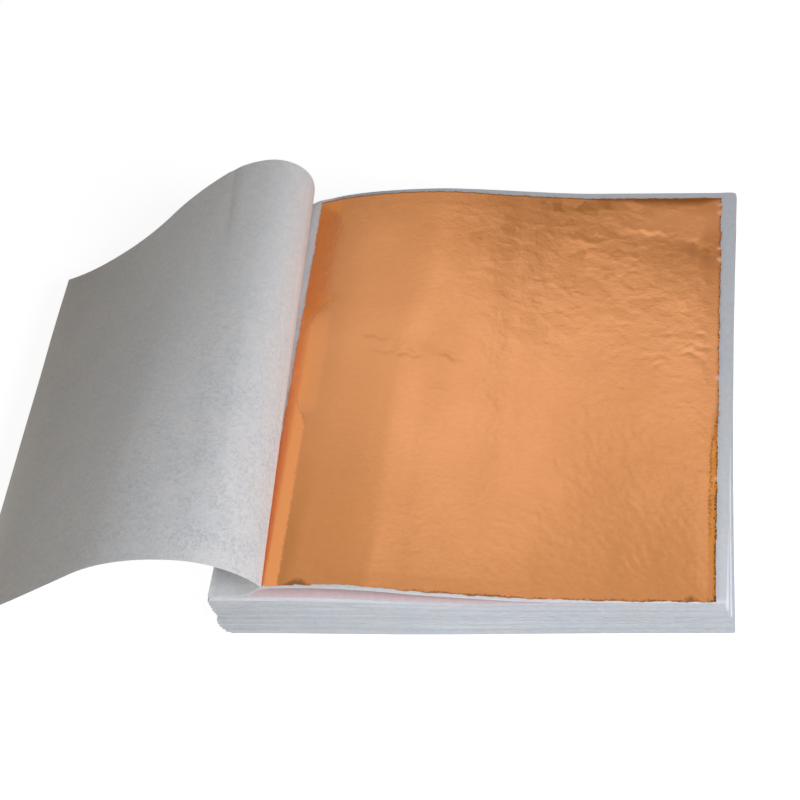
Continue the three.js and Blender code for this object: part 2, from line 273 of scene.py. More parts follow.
# Nodes
class Tree:
    """A node tree, with short calls for the nodes that the materials and the world share."""

    def __init__(self, tree):
        self.tree = tree

    def new(self, kind, **settings):
        node = self.tree.nodes.new(kind)
        for key, value in settings.items():
            setattr(node, key, value)
        return node

    def link(self, source, target):
        self.tree.links.new(source, target)

    def fill(self, socket, value):
        """Puts a number, a colour or another node's output into a socket."""
        if isinstance(value, tuple):
            socket.default_value = (*value, 1)
        elif isinstance(value, (int, float)):
            socket.default_value = value
        else:
            self.link(value, socket)

    def remap(self, value, low, high, to_low=0.0, to_high=1.0, kind="LINEAR"):
        node = self.new("ShaderNodeMapRange", interpolation_type=kind)
        for key, number in (("From Min", low), ("From Max", high), ("To Min", to_low), ("To Max", to_high)):
            node.inputs[key].default_value = number
        self.link(value, node.inputs["Value"])
        return node.outputs["Result"]

    def maths(self, operation, a, b=0):
        node = self.new("ShaderNodeMath", operation=operation)
        for socket, value in zip(node.inputs, (a, b)):
            self.fill(socket, value)
        return node.outputs["Value"]

    def times(self, a, b):
        return self.maths("MULTIPLY", a, b)

    def greater(self, a, b):
        return self.maths("MAXIMUM", a, b)

    def lesser(self, a, b):
        return self.maths("MINIMUM", a, b)

    def vector_maths(self, operation, *vectors):
        node = self.new("ShaderNodeVectorMath", operation=operation)
        for socket, vector in zip(node.inputs, vectors):
            self.link(vector, socket)
        return node

    def mix(self, factor, a, b, blend="MIX"):
        node = self.new("ShaderNodeMix", data_type="RGBA", blend_type=blend)
        for number, value in ((0, factor), (6, a), (7, b)):
            self.fill(node.inputs[number], value)
        return node.outputs[2]

    def surface(self, kind, **values):
        node = self.new(kind)
        for name, value in values.items():
            self.fill(node.inputs[name], value)
        return node.outputs[0]

    def joined(self, kind, *sources):
        """A node that mixes or adds shaders."""
        node = self.new(kind)
        for socket, value in zip(node.inputs, sources):
            self.link(value, socket)
        return node.outputs[0]


class Material(Tree):
    """A material with one Principled shader, and textures that stay with the object."""

    def __init__(self, name):
        self.material = bpy.data.materials.new(name)
        self.material.use_nodes = True
        super().__init__(self.material.node_tree)
        self.shader = self.tree.nodes["Principled BSDF"]
        self.place = self.new("ShaderNodeTexCoord").outputs["Object"]

    def stretched(self, scale, turn=(0, 0, 0)):
        node = self.new("ShaderNodeMapping")
        node.inputs["Scale"].default_value = scale
        node.inputs["Rotation"].default_value = turn
        self.link(self.place, node.inputs["Vector"])
        return node.outputs["Vector"]

    def noise(self, scale, detail=2.0, roughness=0.5, distortion=0.0, vector=None):
        node = self.new("ShaderNodeTexNoise")
        node.inputs["Scale"].default_value = scale
        node.inputs["Detail"].default_value = detail
        node.inputs["Roughness"].default_value = roughness
        node.inputs["Distortion"].default_value = distortion
        self.link(self.place if vector is None else vector, node.inputs["Vector"])
        return node.outputs["Fac"]

    def attribute(self, name):
        return self.new("ShaderNodeAttribute", attribute_name=name).outputs["Fac"]

    def bump(self, height, distance, strength=1.0, after=None):
        node = self.new("ShaderNodeBump")
        node.inputs["Strength"].default_value = strength
        node.inputs["Distance"].default_value = distance
        self.link(height, node.inputs["Height"])
        if after is not None:
            self.link(after, node.inputs["Normal"])
        return node.outputs["Normal"]


PILE_COLOUR = (0.615, 0.625, 0.645)
SINGLE_COLOUR = (0.865, 0.853, 0.845)
# a warm painted shade for the single tissue
WARM_SHADE_COLOUR = (0.65, 0.612, 0.565)
# painted light for the top tissue
PAINTED_LIGHT_COLOUR = (0.93, 0.92, 0.925)
STACK_DARK = (0.66, 0.675, 0.70)
STACK_LIGHT = (0.73, 0.745, 0.775)
# painted light on the top folds, and lighter lines at the fore-edge
CROWN_COLOUR = (0.86, 0.865, 0.89)
# painted shade on the stack
SHADE_COLOUR = (0.60, 0.615, 0.64)
BLUSH_COLOUR = (0.90, 0.68, 0.68)
COOL_TINT = (0.93, 0.965, 1.0)
SPECK_TINT = (0.755, 0.795, 0.84)


def tissue_material(name, stacked):
    """Thin white tissue: cloudy where its fibres lie thicker, with fine flecks, and with light and shade
    painted in from attributes.
    """
    nodes = Material(name)
    clouds = nodes.noise(900, 4, 0.62)
    flecks = nodes.noise(3400, 2, 0.6)
    formation = nodes.maths("ADD", nodes.remap(clouds, 0.36, 0.64, -0.5, 0.5),
                            nodes.remap(flecks, 0.35, 0.65, -0.5, 0.5))
    if stacked:
        lines = nodes.noise(1.0, 2, 0.5, vector=nodes.stretched((40, 40, 1500)))
        colour = nodes.mix(nodes.remap(lines, 0.3, 0.7), STACK_DARK, STACK_LIGHT)
        tones = {"shade": SHADE_COLOUR, "crown": CROWN_COLOUR, "blush": BLUSH_COLOUR}
    else:
        colour = PILE_COLOUR
        tones = {"single": SINGLE_COLOUR, "warm_shade": WARM_SHADE_COLOUR, "painted_light": PAINTED_LIGHT_COLOUR}
    # some of these tones are painted light and shade, not the tissue's own colour
    for attribute, tone in tones.items():
        colour = nodes.mix(nodes.attribute(attribute), colour, tone)
    blotches = nodes.noise(120, 3, 0.6)
    colour = nodes.mix(nodes.remap(blotches, 0.4, 0.62, 0, 0.5), colour, COOL_TINT, "MULTIPLY")
    normal = nodes.bump(clouds, 0.00006 if stacked else 0.0001, 0.6)
    normal = nodes.bump(flecks, 0.00003, 0.6, normal)
    if not stacked:
        # bluish specks, thicker in some patches
        specks = nodes.remap(nodes.noise(1600, 4, 0.7), 0.44, 0.66)
        patchy = nodes.remap(nodes.noise(220, 2, 0.5), 0.35, 0.6, 0.35, 1)
        speckled = nodes.times(nodes.times(specks, nodes.attribute("mottle")), patchy)
        colour = nodes.mix(speckled, colour, SPECK_TINT, "MULTIPLY")
        normal = nodes.bump(speckled, 0.00012, 0.5, normal)
    colour = nodes.mix(1.0, colour, nodes.remap(formation, -1, 1, 0.93, 1.05), "MULTIPLY")
    nodes.link(colour, nodes.shader.inputs["Base Color"])
    nodes.link(nodes.remap(formation, -1, 1, 0.72, 0.6), nodes.shader.inputs["Roughness"])
    nodes.shader.inputs["Specular IOR Level"].default_value = 0.35
    nodes.link(normal, nodes.shader.inputs["Normal"])
    return nodes.material


COPPER = (0.80, 0.345, 0.15)
COPPER_DEEP = (0.77, 0.32, 0.13)
# copper with painted highlights
COPPER_LIT = (0.97, 0.43, 0.20)
# the roll's bright reflection, painted on the slope
SLOPE_REFLECTION_COLOUR = (1.0, 0.39, 0.135)
# dark copper, for painted shade and for smudges
COPPER_DARK = (0.57, 0.235, 0.08)
# the roll's painted reflection
ROLL_REFLECTION_COLOUR = (1.0, 0.33, 0.045)
# painted glints
GLINT_COLOUR = (1.0, 0.46, 0.28)
EDGE_ORANGE = (0.82, 0.32, 0.06)
# dark brown, for the painted shade at the front edge and the broken line down the right edge
EDGE_BROWN = (0.13, 0.045, 0.016)
EDGE_SHADE = (0.36, 0.12, 0.025)
# Along the leaf's right edge the foil has folded over, from the front corner to this distance
FOLDED_EDGE_LENGTH = 40.0
FOLDED_EDGE_WIDTH = 1.15
# Beside the roll the foil slopes down to the left, as far back as this, and the roll's light is painted on it
# as a reflection
SLOPE_LENGTH = 40.0
SLOPE_WIDTH = 4.8
# The slope is finely pleated along the roll. Most pleats face up and to the right, and turn the normal so.
PLEAT_LEAN = {"X": 0.5, "Z": 2.5}


def foil_material():
    """Beaten copper foil, with light, shade and reflections painted into its colour. Distances from its edges
    come as attributes, in millimetres.
    """
    nodes = Material("foil")
    patches = nodes.noise(55, 3, 0.55)
    ragged = nodes.noise(2600, 3, 0.6)
    slow = nodes.noise(260, 2, 0.5)
    smudges = nodes.noise(1.0, 3, 0.62, vector=nodes.stretched((800, 1400, 800)))
    roll_reflection, glint = nodes.attribute("roll_reflection"), nodes.attribute("glint")
    from_left, from_right, from_front, from_back = (
        nodes.attribute("from_" + side) for side in ("left", "right", "front", "back"))

    def within(distance, limit, softness=0.05, wander=0.35):
        """1 where the distance, made ragged, is less than the limit."""
        rough = nodes.maths("ADD", distance, nodes.remap(ragged, 0.3, 0.7, -wander, wander))
        gap = nodes.maths("SUBTRACT", limit, rough)
        return nodes.remap(gap, -softness, softness)

    def away(distance, place):
        return nodes.maths("ABSOLUTE", nodes.maths("SUBTRACT", distance, place))

    colour = nodes.mix(nodes.remap(patches, 0.35, 0.7), COPPER, COPPER_DEEP)
    # painted shade and painted highlights, worked out with the mesh
    colour = nodes.mix(nodes.attribute("dark"), colour, COPPER_DARK)
    colour = nodes.mix(nodes.remap(smudges, 0.4, 0.68, 0, 0.22), colour, COPPER_DARK)
    colour = nodes.mix(nodes.attribute("lit"), colour, COPPER_LIT)
    # the roll's reflection, painted deep orange beside it
    colour = nodes.mix(roll_reflection, colour, ROLL_REFLECTION_COLOUR)
    # the sloping part beside the roll, with the roll's reflection painted on it
    slope_width = nodes.remap(from_front, 0.8 * SLOPE_LENGTH, 1.05 * SLOPE_LENGTH, SLOPE_WIDTH, 0)
    slope = nodes.greater(within(from_left, slope_width, 0.15, 0.3), nodes.attribute("soft_slope"))
    colour = nodes.mix(slope, colour, SLOPE_REFLECTION_COLOUR)
    # the folded strip, with a dotted line of painted shadow along its inner side and a broken one down its
    # outer side
    length, width = FOLDED_EDGE_LENGTH, FOLDED_EDGE_WIDTH
    strip_width = nodes.lesser(nodes.remap(from_front, 4, 10, 0.45 * width, width),
                               nodes.remap(from_front, 0.7 * length, length, width, -0.6))
    strip = within(from_right, strip_width, 0.12, 0.3)
    colour = nodes.mix(nodes.times(strip, 0.75), colour, EDGE_ORANGE)
    line = within(from_right, nodes.remap(from_front, 0.5 * length, 0.75 * length, 0.22, 0.05))
    inner_width = nodes.lesser(nodes.remap(from_front, 8, 14, -0.4, 0.16),
                               nodes.remap(from_front, 34, 46, 0.16, -0.4))
    inner = within(away(from_right, strip_width), inner_width, 0.15, 0.5)
    colour = nodes.mix(nodes.times(inner, 0.6), colour, EDGE_SHADE)
    # a soft brown rim of painted shade goes on along the right edge
    colour = nodes.mix(nodes.remap(from_right, 0.15, 0.65, 0.4, 0), colour, EDGE_SHADE)
    # the back edge is painted darker, as though it dipped away from the light, most of all at the right
    back_shade_width = nodes.lesser(nodes.remap(from_right, 7, 26, 1.7, 0.25), nodes.remap(from_right, 0, 4, 0.3, 1.7))
    dip = nodes.remap(nodes.maths("DIVIDE", from_back, back_shade_width), 0.4, 1.4, 0.9, 0)
    colour = nodes.mix(dip, colour, EDGE_SHADE)
    # painted shade: a thin brown shade runs along the front edge, with a larger dark spot at its left and a
    # smaller at its right
    front_shade = within(from_front, nodes.remap(slow, 0.38, 0.6, 0.02, 0.34), 0.15)
    front_shade = nodes.times(front_shade, nodes.remap(from_left, 22, 34))
    from_spot = nodes.lesser(away(from_left, 8.4), nodes.maths("ADD", away(from_right, 4.0), 0.9))
    spot = within(from_front, nodes.remap(from_spot, 0.8, 3.2, 1.05, -0.5), 0.4)
    brown = nodes.greater(nodes.times(front_shade, 0.75), nodes.times(spot, 0.7))
    colour = nodes.mix(nodes.times(nodes.greater(brown, line), 0.85), colour, EDGE_BROWN)
    # painted glints on the torn right edge
    colour = nodes.mix(glint, colour, GLINT_COLOUR)
    nodes.link(colour, nodes.shader.inputs["Base Color"])
    # the foil is less metallic on the slope, and where the roll's reflection and the glints are painted, so
    # that their painted colour shows
    less_metallic = nodes.greater(nodes.greater(nodes.times(slope, 0.3), nodes.times(roll_reflection, 0.85)), glint)
    nodes.link(nodes.maths("SUBTRACT", 1.0, less_metallic), nodes.shader.inputs["Metallic"])
    nodes.link(nodes.remap(patches, 0.3, 0.7, 0.15, 0.2), nodes.shader.inputs["Roughness"])
    along = nodes.noise(1.0, 3, 0.6, 0.4, nodes.stretched((430, 520, 430), (0, 0, 0.3)))
    grain = nodes.noise(1700, 2, 0.55)
    normal = nodes.bump(grain, 0.000022, 0.6, nodes.bump(along, 0.000022, 0.6))
    lean = nodes.new("ShaderNodeCombineXYZ")
    for axis, amount in PLEAT_LEAN.items():
        nodes.link(nodes.times(slope, amount), lean.inputs[axis])
    leaning = nodes.vector_maths("ADD", normal, lean.outputs["Vector"]).outputs["Vector"]
    nodes.link(nodes.vector_maths("NORMALIZE", leaning).outputs["Vector"], nodes.shader.inputs["Normal"])
    return nodes.material


TOP_TISSUE = tissue_material("top_tissue", stacked=False)
STACK_TISSUE = tissue_material("stack_tissue", stacked=True)
FOIL = foil_material()


# Top tissue, in one piece from the fore-edge round the fold and up over the roll
PAGE_COLUMN_STEP = 0.9
ROOT_COLUMNS = 10
CURL_COLUMNS = 14
FOLD_COLUMNS = 6
ARC_COLUMNS = 14
TISSUE_ROWS = 88
CREASE_COLUMN = 24.5
CREASE_DEPTH = 0.14
FREE_WAVE = 0.22
CORNER_ROUNDING = 0.3
# A direction from the turning joint's axis, which is set square to that axis
BLEND_DIRECTION = np.array([-0.4, 0, 0.92])


def heading_vector(degrees):
    return np.array([math.cos(math.radians(degrees)), 0.0, math.sin(math.radians(degrees))])


def roll_point(roll, y):
    x = TOP_FOLD_X + roll["x"]
    return np.array([x, y, float(stack_top(x)) + roll["lift"]])


def fixed_profile(across, y, roll):
    fore_edge = TOP_FOLD_X + TISSUE_WIDTH - TOP_FOLD_RADIUS
    fold_start = TOP_FOLD_X + TOP_FOLD_RADIUS
    xs = np.linspace(fore_edge, fold_start, int((fore_edge - fold_start) / PAGE_COLUMN_STEP) + 1)
    xs = xs + TOP_FORE_EDGE_FLARE * across * rise(xs, SWELL_END, fore_edge)
    page = np.stack([xs, np.full_like(xs, y), page_height(xs, across)], -1)
    centre = page[-1] + (0, 0, TOP_FOLD_RADIUS)
    angles = np.pi * (1.5 - np.arange(1, FOLD_COLUMNS) / FOLD_COLUMNS)
    fold = centre + TOP_FOLD_RADIUS * np.stack([np.cos(angles), 0 * angles, np.sin(angles)], -1)
    share = np.linspace(0, 1, ROOT_COLUMNS + 1)
    xs = fold_start + (TOP_FOLD_X + roll["leaves_page"] - fold_start) * share
    clearance = 2 * TOP_FOLD_RADIUS + (ROOT_CLEARANCE - 2 * TOP_FOLD_RADIUS) * share
    root = np.stack([xs, np.full_like(xs, y), page_height(xs, across) + clearance], -1)
    leaving = root[-1] - root[-2]
    leaving /= np.linalg.norm(leaving)
    upright = roll_point(roll, y)
    a, d = root[-1], upright
    b = a + leaving * roll["reach"]
    c = d - heading_vector(ROLL_HEADING) * roll["reach"]
    t = np.linspace(0, 1, CURL_COLUMNS + 1)[1:, None]
    curl = (1 - t)**3 * a + 3 * (1 - t)**2 * t * b + 3 * (1 - t) * t**2 * c + t**3 * d
    return np.concatenate([page, fold, root, curl])


def turned_profile(roll, y, arcs):
    skew = math.radians(TURNED_SKEW)
    across_roll = np.array([math.cos(skew), math.sin(skew), 0]) * math.cos(skew)
    along_roll = np.array([-math.sin(skew), math.cos(skew), 0]) * -math.sin(skew)
    point = roll_point(roll, y)
    heading = ROLL_HEADING
    points = []
    for length, turn in arcs:
        step = length / ARC_COLUMNS
        for _ in range(ARC_COLUMNS):
            angle = math.radians(heading + turn / ARC_COLUMNS / 2)
            point = point + across_roll * step * math.cos(angle) + along_roll * step
            point[2] += step * math.sin(angle) * math.cos(skew)
            heading += turn / ARC_COLUMNS
            points.append(point)
    return np.array(points)


def make_top_tissue():
    front_y, back_y = TOP_FRONT_Y, TOP_FRONT_Y + TISSUE_DEPTH
    front = np.concatenate([fixed_profile(0, front_y, ROLL_AT_FRONT),
                            turned_profile(ROLL_AT_FRONT, front_y, TURNED_ARCS_FRONT)])
    back = np.concatenate([fixed_profile(1, back_y, ROLL_AT_BACK),
                           turned_profile(ROLL_AT_BACK, back_y, TURNED_ARCS_BACK)])
    share = np.linspace(0, 1, TISSUE_ROWS + 1)[:, None]
    surface = front * (1 - share[..., None]) + back * share[..., None]
    from_front = share * TISSUE_DEPTH
    column = np.arange(len(front))
    upright = len(front) - ARC_COLUMNS * len(TURNED_ARCS_FRONT)
    root = upright - CURL_COLUMNS - ROOT_COLUMNS
    past_upright = column - upright
    free = rise(column, upright, len(front))
    # the free part waves very slightly, and not at all where it leaves the roll
    u, v = np.meshgrid(column * 1.3, from_front[:, 0])
    surface[..., 2] += FREE_WAVE * free * layered_noise(u / 26, v / 30, 11)
    # a soft crease runs in from the back edge, on top of the roll
    crease = np.exp(-((past_upright - CREASE_COLUMN) / 1.3)**2) * rise(share, 0.78, 0.88)
    surface[..., 2] -= CREASE_DEPTH * crease
    # the page's back corner is a little rounded
    from_corner = column * PAGE_COLUMN_STEP + TISSUE_DEPTH - from_front
    surface[..., :2] -= (CORNER_ROUNDING * rise(from_corner, 4 * CORNER_ROUNDING, 0))[..., None]
    points, faces = sheet(surface, TOP_TISSUE_THICKNESS)
    piece = new_object("top_tissue", points, faces, TOP_TISSUE)

    single = rise(column, root, root + ROOT_COLUMNS) + 0 * from_front
    # painted shade with a warm tint, towards the free edge, on top of the roll at the back, and on one side of
    # the crease
    on_roll = rise(past_upright, -10, -4) * rise(past_upright, 36, 26)
    beside_crease = rise(past_upright, CREASE_COLUMN - 5, CREASE_COLUMN) * rise(share, 0.75, 0.87)
    beside_crease = beside_crease * rise(past_upright, CREASE_COLUMN + 0.3, CREASE_COLUMN)
    warm_shade = np.maximum(rise(free, 0.47, 0.94), on_roll * (0.25 * share + 0.35 * beside_crease))
    # painted light: the page is brighter towards the front and beside the roll, and so is the foot of the roll
    page = np.maximum(0.37 * rise(from_front, 45, 0), 0.9 * rise(front[:, 0], 13, 11))
    along_root = (column - root) / ROOT_COLUMNS
    curl = 0.1 + np.where(along_root < 1, 0.35 * (1 - along_root), 0.85 * rise(along_root, 1, 1.4))
    painted_light = np.where(column < root, page, curl * (1 - 0.7 * share))
    painted_light = np.where(column >= upright, 0.1 * rise(past_upright, 5, 0), painted_light)
    # a painted highlight along the page's front edge
    painted_light[0, :root] = 0.9
    mottle = rise(free, 0.75, 0.3) * (0.25 + 0.75 * rise(from_front, 62, 12)) * single
    set_sheet_attributes(piece, {"single": single, "warm_shade": warm_shade, "painted_light": painted_light, "mottle": mottle})
    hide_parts("tissue_01_page", "tissue_01_turned_half")

    hinge_front, hinge_back = roll_point(ROLL_AT_FRONT, front_y), roll_point(ROLL_AT_BACK, back_y)
    axis = (hinge_back - hinge_front) / np.linalg.norm(hinge_back - hinge_front)
    direction = BLEND_DIRECTION - axis * (BLEND_DIRECTION @ axis)
    direction /= np.linalg.norm(direction)
    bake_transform(piece)


make_top_tissue()


# Foil on the open page: torn edges, crumples, and a narrow strip along the right edge that has turned up.
# Its places are distances from its left and its front edge, in millimetres.
LEAF_GRID = 0.3
TORN_REACH = 1.2
# How far the back edge runs out, by the distance from the left
BACK_EDGE_RUN_OUT = [(0, 0.68), (25, 0.68), (35, 0.45), (52, 0.2), (80, 0.1)]
# Separate creases: two ends, half width, depth
MARKED_CREASES = [
    (12.6, 52.1, 19.3, 50.1, 0.6, -0.06), (13.7, 48.5, 28.4, 46.4, 0.7, -0.05),
    (28.3, 47.9, 34.2, 46.0, 0.6, -0.045), (27.1, 40.7, 32.9, 39.9, 0.5, -0.035),
    (73.1, 48.9, 77.5, 47.4, 0.5, -0.04), (74.0, 50.5, 79.5, 48.9, 0.5, -0.035),
    (73.0, 73.6, 80.0, 69.5, 1.5, -0.09), (50.0, 75.0, 58.0, 72.6, 0.7, 0.035),
    (60.5, 77.0, 72.0, 75.5, 0.8, 0.05),
]
# Creases scattered between two corners: how many, corners, angles in degrees, lengths, half width, depth
CREASE_GROUPS = [
    (90, (28, 44), (78, 82), (-50, 30), (1.5, 4.5), 0.5, 0.012),
    (170, (36, 2), (78, 44), (-75, -35), (1.5, 4), 0.34, 0.015),
    (90, (24, 6), (50, 44), (-30, 60), (1, 3), 0.35, 0.011),
    (26, (64, 45), (79, 53), (-40, 40), (1, 3), 0.35, 0.022),
]
FACET_COUNT = 640
FACET_HEADING = -16
FACET_STRETCH = 2.0
# Soft patches of painted shade and painted highlight: place, half sizes, strength
DARK_PATCHES = [
    ((57, 82), (5, 3), 1.1), ((74, 6), (10, 12), 0.25), ((26, 50), (6, 8), 0.25), ((54, 76), (8, 5), 0.35),
    ((57, 66), (8, 4), 0.22),
]
LIT_PATCHES = [
    ((42, 40), (24, 22), 0.35), ((41, 50), (7, 8), 0.35), ((42, 16), (22, 14), 0.22), ((76, 40), (7, 13), 0.35),
    ((14, 64), (12, 14), 0.55), ((73, 78), (11, 3.6), 1.2), ((74, 52), (11, 9), 0.85), ((46, 65), (12, 9), 0.5),
    ((76, 64), (6, 4), 0.3),
]
# Faint dark streaks at the front right: distances from the left
DARK_STREAKS = (50.5, 63.5, 71.0)
# The roll's reflection, painted deep orange beside it: its width and its strength, by the distance from the
# front
ROLL_REFLECTION_OUTLINE = [
    (38, 1.8), (41, 2.4), (45, 2.5), (50, 3.0), (53.4, 2.2), (57, 3.2), (60, 6.2), (62.7, 4.6), (68.6, 4.7),
    (84, 5.5),
]
ROLL_REFLECTION_STRENGTH = [
    (38, 0), (40, 0.55), (44, 0.6), (47, 0.25), (51, 0.2), (54, 0.55), (57, 0.85), (60, 0.7), (79, 0.6),
    (81, 0.85), (84, 0.85),
]
ROLL_REFLECTION_SOFTNESS = 4.4
# Painted glints on the torn right edge: distance from the front, and size
GLINTS = [(82.3, 0.5), (80.4, 0.7), (69.1, 0.7), (71.8, 0.35), (43.0, 0.5), (22.5, 0.3)]


def crease_relief(u, v, u0, v0, u1, v1, width, depth):
    length = math.hypot(u1 - u0, v1 - v0)
    along = ((u - u0) * (u1 - u0) + (v - v0) * (v1 - v0)) / length
    aside = ((v - v0) * (u1 - u0) - (u - u0) * (v1 - v0)) / length
    bend = 0.35 * width * np.sin(along * 2.1 + u0)
    reach = rise(along, 0, 0.3 * length) * rise(along, length, 0.7 * length)
    return depth * np.exp(-((aside - bend) / width)**2) * reach


def scattered_creases(u, v, draws, count, corner, far_corner, angles, lengths, width, depth):
    total = np.zeros_like(u)
    for _ in range(count):
        u0, v0 = draws.uniform(corner[0], far_corner[0]), draws.uniform(corner[1], far_corner[1])
        angle, length = math.radians(draws.uniform(*angles)), draws.uniform(*lengths)
        u1, v1 = u0 + length * math.cos(angle), v0 + length * math.sin(angle)
        size = draws.uniform(0.7, 1.3)
        amount = depth * draws.choice([-1, 1]) * draws.uniform(0.4, 1)
        # only the rows within 2 mm of the crease are worked out
        reached = np.array([min(v0, v1) - 2, max(v0, v1) + 2]) / LEAF_GRID
        rows = slice(*np.clip(reached, 0, len(v)).astype(int))
        total[rows] += crease_relief(u[rows], v[rows], u0, v0, u1, v1, width * size, amount)
    return total


def blob(u, v, at, size):
    return np.exp(-((u - at[0]) / size[0])**2 - ((v - at[1]) / size[1])**2)


def tone_patches(u, v, patches):
    return sum(strength * blob(u, v, at, size) for at, size, strength in patches)


def facets(u, v):
    """Foil crumpled into small flat facets: which facet each point is on, and its place from the middle. Each
    facet also gets a random shading, which is painted as light and shade.
    """
    draws = np.random.RandomState(67)
    warp_u, warp_v = 0.5 * smooth_noise(u / 1.6, v / 1.3, 73), 0.35 * smooth_noise(u / 1.5, v / 1.1, 74)
    tilt = math.radians(FACET_HEADING)
    along = (u + warp_u) * math.cos(tilt) + (v + warp_v) * math.sin(tilt)
    aside = ((v + warp_v) * math.cos(tilt) - (u + warp_u) * math.sin(tilt)) * FACET_STRETCH
    seeds_u, seeds_v = draws.uniform(18, LEAF_WIDTH, FACET_COUNT), draws.uniform(30, LEAF_DEPTH, FACET_COUNT)
    seeds_along = seeds_u * math.cos(tilt) + seeds_v * math.sin(tilt)
    seeds_aside = (seeds_v * math.cos(tilt) - seeds_u * math.sin(tilt)) * FACET_STRETCH
    nearest = np.full(u.shape, np.inf)
    facet = np.zeros(u.shape, int)
    for k in range(FACET_COUNT):
        distance = (along - seeds_along[k])**2 + (aside - seeds_aside[k])**2
        closer = distance < nearest
        nearest = np.where(closer, distance, nearest)
        facet = np.where(closer, k, facet)
    slopes = draws.normal(0, 1, (FACET_COUNT, 2))
    relief = (u - seeds_u[facet]) * slopes[facet, 0] + (v - seeds_v[facet]) * slopes[facet, 1]
    return np.clip(relief, -2, 2), draws.normal(0, 1, FACET_COUNT)[facet]


def crumpled_share(u, v):
    return rise(u, 20, 45) * rise(v, 30, 54)


def leaf_relief(u, v, facet_relief):
    """Slow swells everywhere, crumples at the back right, slanting strokes at the front right."""
    draws = np.random.RandomState(61)
    back_right = crumpled_share(u, v)
    front_right = rise(u, 38, 58) * rise(v, 46, 26)
    warp = smooth_noise(u / 4, v / 4, 45)
    crumples = (np.abs(smooth_noise(u / 3.2 + 0.7 * warp, v / 2.3 + 0.8 * warp, 41))
                + 0.4 * np.abs(smooth_noise(u / 1.7 - 0.7 * warp, v / 1.2 + 0.6 * warp, 42)))
    strokes = layered_noise(u + v + warp, (u - v) / 2.6, 47)
    total = 0.045 * layered_noise(u / 17, v / 14, 40)
    total += 0.011 * (0.05 + back_right) * crumples + 0.012 * (0.12 + front_right) * strokes
    total += 0.004 * back_right * facet_relief
    for group in CREASE_GROUPS:
        total += scattered_creases(u, v, draws, *group)
    for crease in MARKED_CREASES:
        total += crease_relief(u, v, *crease)
    return total - total.min()


def painted_leaf_light(u, v, facet_shading):
    """Painted shade, painted highlights and painted reflections: how dark, how bright and how orange the foil
    looks from place to place.
    """
    wavy = smooth_noise(v / 9, 0 * v, 71)
    # painted shade: a wide dark band at the left, darkest beside the slope
    left_band = rise(u - 0.8 * wavy, 22, 20.4) * rise(v, 56, 40)
    next_to_slope = rise(u - wavy, 8.5, 6) * rise(v, 27, 10)
    dark = (0.15 + 0.3 * rise(v, 12, 0)) * left_band + 0.5 * next_to_slope + tone_patches(u, v, DARK_PATCHES)
    # painted shade in the wrinkles across the left half
    from_wrinkles = v - 51.5 + 0.24 * (u - 12) + 0.5 * wavy
    wrinkled = np.exp(-(from_wrinkles / 1.3)**2) * rise(u, 14, 19) * rise(u, 34, 28)
    dark = dark + 0.3 * wrinkled * (1 + 0.5 * smooth_noise(u / 1.3, v / 0.8, 78))
    # a painted highlight on a fold at the back right, with painted shade in front of it
    dark = dark * (1 - 0.9 * blob(u, v, (73, 78), (10, 4))) + 0.45 * blob(u, v, (76, 72), (7, 2.4))
    streaks = sum(blob(u, v, (place, 9), (2.2, 9)) for place in DARK_STREAKS)
    dark = dark + 0.13 * streaks * (1 + 0.3 * smooth_noise(u / 1.5, v / 3, 77))
    lit = tone_patches(u, v, LIT_PATCHES)
    lit = lit + 0.35 * rise(u, 1, 3) * rise(u, 27, 19) * rise(v, 24, 36) * rise(v, 58, 50)
    # each facet is painted lighter or darker, as its tilt would catch the light or miss it
    tone = 0.24 * crumpled_share(u, v - 16) * facet_shading
    dark, lit = dark + np.clip(-tone, 0, 1), lit + np.clip(tone, 0, 1)
    # the roll's reflection, painted beside it
    width = read(ROLL_REFLECTION_OUTLINE, v) + 0.3 * smooth_noise(v / 1.2, 0 * v, 72)
    roll_reflection = read(ROLL_REFLECTION_STRENGTH, v) * rise(u, width + ROLL_REFLECTION_SOFTNESS / 2, width - ROLL_REFLECTION_SOFTNESS / 2)
    roll_reflection = roll_reflection * (0.9 + 0.1 * smooth_noise(u / 2, v / 5, 75))
    # painted glints on the torn right edge
    glint = sum(np.exp(-((v - place) / size)**2) for place, size in GLINTS)
    glint = glint * rise(u + 0.4 * smooth_noise(u / 0.5, v / 0.5, 76), 79.1, 79.5)
    return {"dark": np.clip(dark, 0, 1), "lit": np.clip(lit, 0, 1), "roll_reflection": roll_reflection,
            "glint": np.clip(glint, 0, 1), "soft_slope": rise(u, 7, 2) * rise(v, 34, 38) * rise(v, 58, 53)}


def torn(along, seed, size):
    coarse = smooth_noise(along / 1.7, 0 * along, seed)
    fine = smooth_noise(along / 0.55, 0 * along, seed + 1)
    return size * (0.6 * coarse + 0.4 * fine)


def near_edge(distance):
    return rise(distance, TORN_REACH, 0)**2


